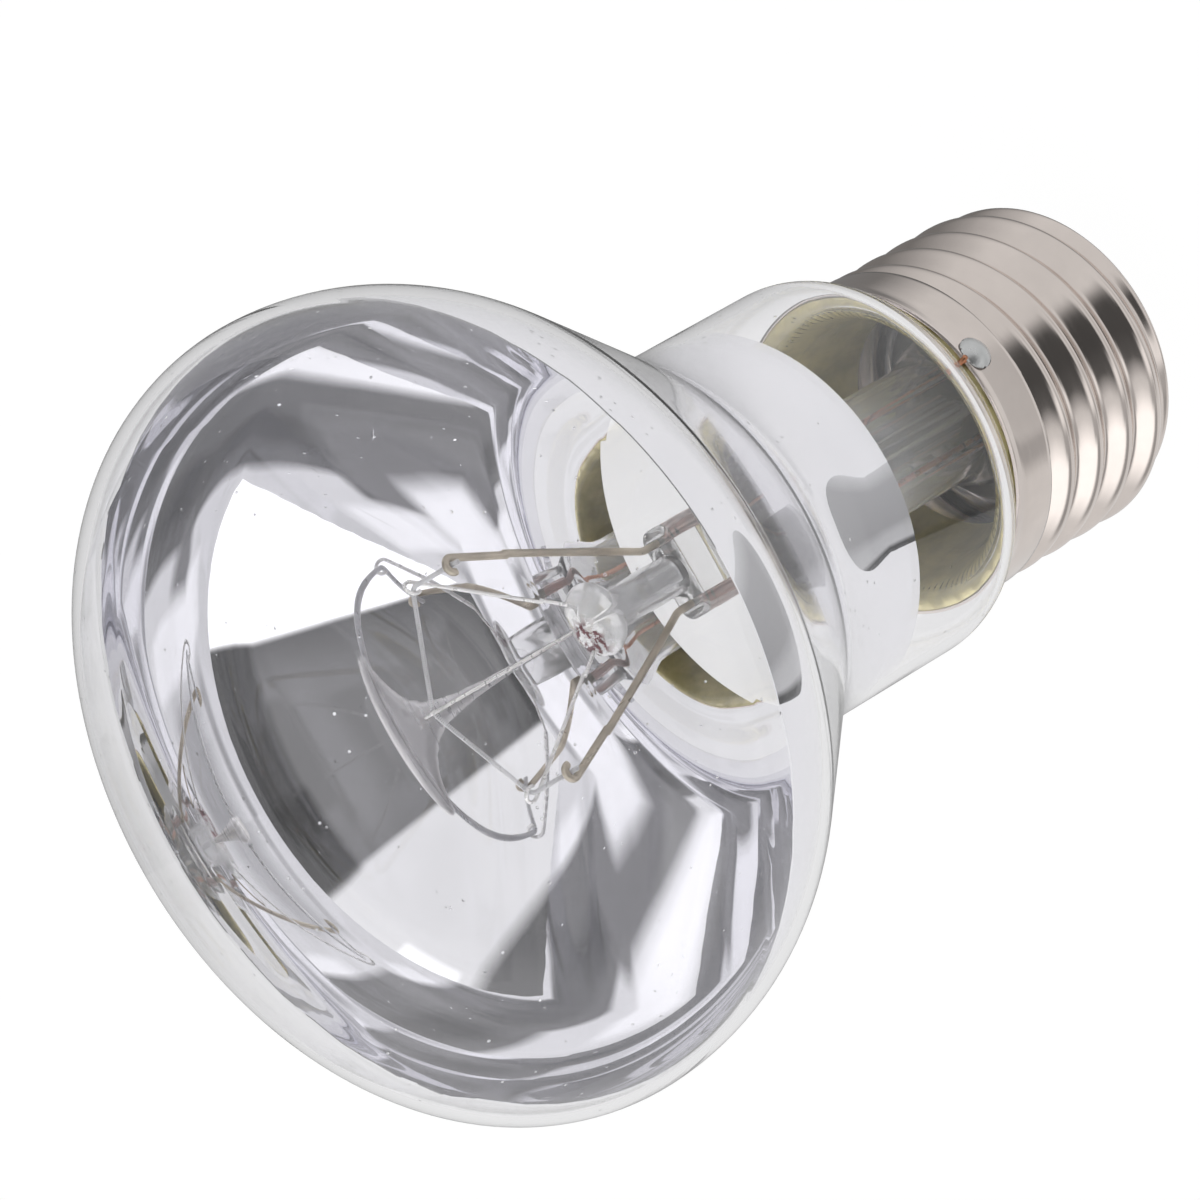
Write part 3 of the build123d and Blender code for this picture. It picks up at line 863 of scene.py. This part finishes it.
class LAMP_OT_stage(bpy.types.Operator):
    """Lays the floor, sets the lights and places the camera"""

    bl_idname = "heat_lamp.stage"
    bl_label = "Stage"

    def execute(self, context):
        stage = context.scene.heat_lamp.stage
        self.floor(stage)
        self.card(stage)
        self.sky(context.scene, stage)
        self.camera(context.scene, stage)
        context.scene.view_settings.view_transform = "Standard"
        context.scene.cycles.max_bounces = stage.bounces
        context.scene.cycles.glossy_bounces = stage.mirror_bounces
        context.scene.cycles.transmission_bounces = stage.bounces
        return {"FINISHED"}

    def floor(self, stage):
        """A round pale floor that shows only from above."""
        bpy.ops.object.select_all(action="DESELECT")
        bpy.ops.mesh.primitive_circle_add(vertices=96, radius=stage.floor_radius, fill_type="NGON")
        floor = bpy.context.object
        floor.name = "floor"
        floor.location.z = -stage.floor_drop
        material, tree, shader = new_finish("floor")
        shader.inputs["Base Color"].default_value = (*stage.floor_colour, 1.0)
        shader.inputs["Roughness"].default_value = 0.9
        shader.inputs["Emission Color"].default_value = (1.0, 1.0, 1.0, 1.0)
        path = tree.nodes.new("ShaderNodeLightPath")
        glow = blend(tree, path.outputs["Is Camera Ray"], stage.floor_dim, stage.floor_glow)
        tree.links.new(glow, shader.inputs["Emission Strength"])
        self.one_sided(tree, shader.outputs["BSDF"])
        floor.data.materials.append(material)
        floor.visible_glossy = False

    def one_sided(self, tree, surface):
        """Lets light through the back of a surface."""
        clear = tree.nodes.new("ShaderNodeBsdfTransparent")
        side = tree.nodes.new("ShaderNodeNewGeometry")
        mix = tree.nodes.new("ShaderNodeMixShader")
        tree.links.new(side.outputs["Backfacing"], mix.inputs["Fac"])
        tree.links.new(surface, mix.inputs[1])
        tree.links.new(clear.outputs["BSDF"], mix.inputs[2])
        tree.links.new(mix.outputs["Shader"], tree.nodes["Material Output"].inputs["Surface"])

    def card(self, stage):
        """A rounded grey card on the floor that the mirrored neck shows."""
        bearing = stage.card_bearing
        out = Vector((math.sin(bearing), -math.cos(bearing), 0.0)) * stage.card_distance
        bpy.ops.object.select_all(action="DESELECT")
        bpy.ops.mesh.primitive_plane_add(size=1.0, location=out, rotation=(0.0, 0.0, bearing))
        card = bpy.context.object
        card.name = "card"
        card.scale = (stage.card_width, stage.card_length, 1.0)
        bpy.ops.object.transform_apply(location=False, rotation=False)
        bpy.ops.object.mode_set(mode="EDIT")
        bpy.ops.mesh.select_all(action="SELECT")
        bpy.ops.mesh.bevel(offset=stage.card_corner, segments=8, affect="VERTICES")
        bpy.ops.object.mode_set(mode="OBJECT")
        card.data.materials.append(self.card_finish(stage.card_width / 2))
        card.visible_camera = False
        card.visible_diffuse = False
        card.visible_glossy = False
        card.visible_shadow = False

    def card_finish(self, half):
        """Grey light that changes across the card."""
        material, tree, shader = new_finish("card")
        tree.nodes.remove(shader)
        light = tree.nodes.new("ShaderNodeEmission")
        coordinates = tree.nodes.new("ShaderNodeTexCoord")
        parts = tree.nodes.new("ShaderNodeSeparateXYZ")
        tree.links.new(coordinates.outputs["Object"], parts.inputs["Vector"])
        across = span(tree, parts.outputs["X"], 0.0, 1.0, start=-half, end=half)
        tones = ramp(tree, across, [(position, (grey, grey, grey)) for position, grey in CARD_GREYS])
        tree.links.new(tones, light.inputs["Color"])
        tree.links.new(light.outputs["Emission"], tree.nodes["Material Output"].inputs["Surface"])
        return material

    def sky(self, scene, stage):
        """Even studio light with soft boxes and grey cards, in front of a plain backdrop."""
        world = bpy.data.worlds.new("studio")
        world.use_nodes = True
        tree = world.node_tree
        coordinates = tree.nodes.new("ShaderNodeTexCoord")
        parts = tree.nodes.new("ShaderNodeSeparateXYZ")
        tree.links.new(coordinates.outputs["Generated"], parts.inputs["Vector"])
        front = calculate(tree, "MULTIPLY", parts.outputs["Y"], -1.0)
        bearing = calculate(tree, "ARCTAN2", parts.outputs["X"], front)
        steepness = calculate(tree, "ARCCOSINE", parts.outputs["Z"])
        once = self.panels(tree, bearing, steepness, stage.sky, FIRST_BOUNCE)
        again = self.panels(tree, bearing, steepness, stage.sky, MORE_BOUNCES)
        around = self.panels(tree, bearing, steepness, stage.surround, SURROUND)
        path = tree.nodes.new("ShaderNodeLightPath")
        faces = path.outputs["Transmission Depth"]
        mirrored = calculate(tree, "GREATER_THAN", path.outputs["Glossy Depth"], ONE_MIRROR)
        outside = calculate(tree, "LESS_THAN", faces, THREE_FACES)
        light = blend(tree, outside, blend(tree, mirrored, once, again), around)
        inside = calculate(tree, "MULTIPLY", path.outputs["Diffuse Depth"], faces)
        inside = calculate(tree, "MINIMUM", inside, 1.0)
        light = blend(tree, inside, light, calculate(tree, "MULTIPLY", light, stage.inner_light))
        light = blend(tree, path.outputs["Is Camera Ray"], light, stage.backdrop)
        background = tree.nodes["Background"]
        background.inputs["Color"].default_value = (1.0, 1.0, 1.0, 1.0)
        tree.links.new(light, background.inputs["Strength"])
        scene.world = world

    def panels(self, tree, bearing, steepness, light, rows):
        """The even light with soft boxes and cards over it."""
        for left, right, side_soft, top, bottom, soft, value in rows:
            across = self.between(tree, bearing, left, right, side_soft)
            up = self.between(tree, steepness, top, bottom, soft)
            light = blend(tree, calculate(tree, "MULTIPLY", across, up), light, value)
        return light

    def between(self, tree, measure, low, high, soft):
        """One where an angle lies between two soft edges, in degrees, and nought elsewhere."""
        rise = span(tree, measure, 0.0, 1.0, start=math.radians(low - soft), end=math.radians(low + soft))
        fall = span(tree, measure, 1.0, 0.0, start=math.radians(high - soft), end=math.radians(high + soft))
        return calculate(tree, "MULTIPLY", rise, fall)

    def camera(self, scene, stage):
        """The camera at the photograph's viewing angle."""
        sin_t, cos_t = math.sin(stage.tilt), math.cos(stage.tilt)
        sin_r, cos_r = math.sin(stage.roll), math.cos(stage.roll)
        right = Vector((-sin_r, -cos_t * cos_r, -sin_t * cos_r))
        down = Vector((-cos_r, cos_t * sin_r, sin_t * sin_r))
        ahead = Vector((0.0, sin_t, -cos_t))
        aim = Vector((0.0, 0.0, stage.aim_z))
        data = bpy.data.cameras.new("camera")
        data.sensor_width = stage.sensor
        data.lens = stage.lens
        camera = bpy.data.objects.new("camera", data)
        scene.collection.objects.link(camera)
        turn = Matrix((right, -down, -ahead)).transposed().to_4x4()
        spot = aim - stage.shift_right * right - stage.shift_down * down - stage.distance * ahead
        camera.matrix_world = Matrix.Translation(spot) @ turn
        scene.camera = camera


class LAMP_PT_panel(bpy.types.Panel):
    """Lists the lamp's pieces in the sidebar"""

    bl_idname = "LAMP_PT_panel"
    bl_label = "Heat Lamp"
    bl_space_type = "VIEW_3D"
    bl_region_type = "UI"
    bl_category = "Heat Lamp"

    def draw(self, context):
        for operator in OPERATORS:
            self.layout.operator(operator.bl_idname)


OPERATORS = (
    LAMP_OT_glass_bulb,
    LAMP_OT_mirror,
    LAMP_OT_screw_cap,
    LAMP_OT_cap_end,
    LAMP_OT_stem,
    LAMP_OT_wires,
    LAMP_OT_filament,
    LAMP_OT_stage,
)
SETTINGS = (BulbSettings, CapSettings, MountSettings, StageSettings, HeatLampSettings)


def register():
    """Registers the settings, the operators and the panel."""
    for item in (*SETTINGS, *OPERATORS, LAMP_PT_panel):
        bpy.utils.register_class(item)
    bpy.types.Scene.heat_lamp = PointerProperty(type=HeatLampSettings)


def unregister():
    """Removes what register added."""
    del bpy.types.Scene.heat_lamp
    for item in reversed((*SETTINGS, *OPERATORS, LAMP_PT_panel)):
        bpy.utils.unregister_class(item)


def main():
    """Builds the lamp and its stage."""
    register()
    bpy.ops.heat_lamp.glass_bulb()
    bpy.ops.heat_lamp.mirror()
    bpy.ops.heat_lamp.screw_cap()
    bpy.ops.heat_lamp.cap_end()
    bpy.ops.heat_lamp.stem()
    bpy.ops.heat_lamp.wires()
    bpy.ops.heat_lamp.filament()
    bpy.ops.heat_lamp.stage()


if __name__ == "__main__":
    main()
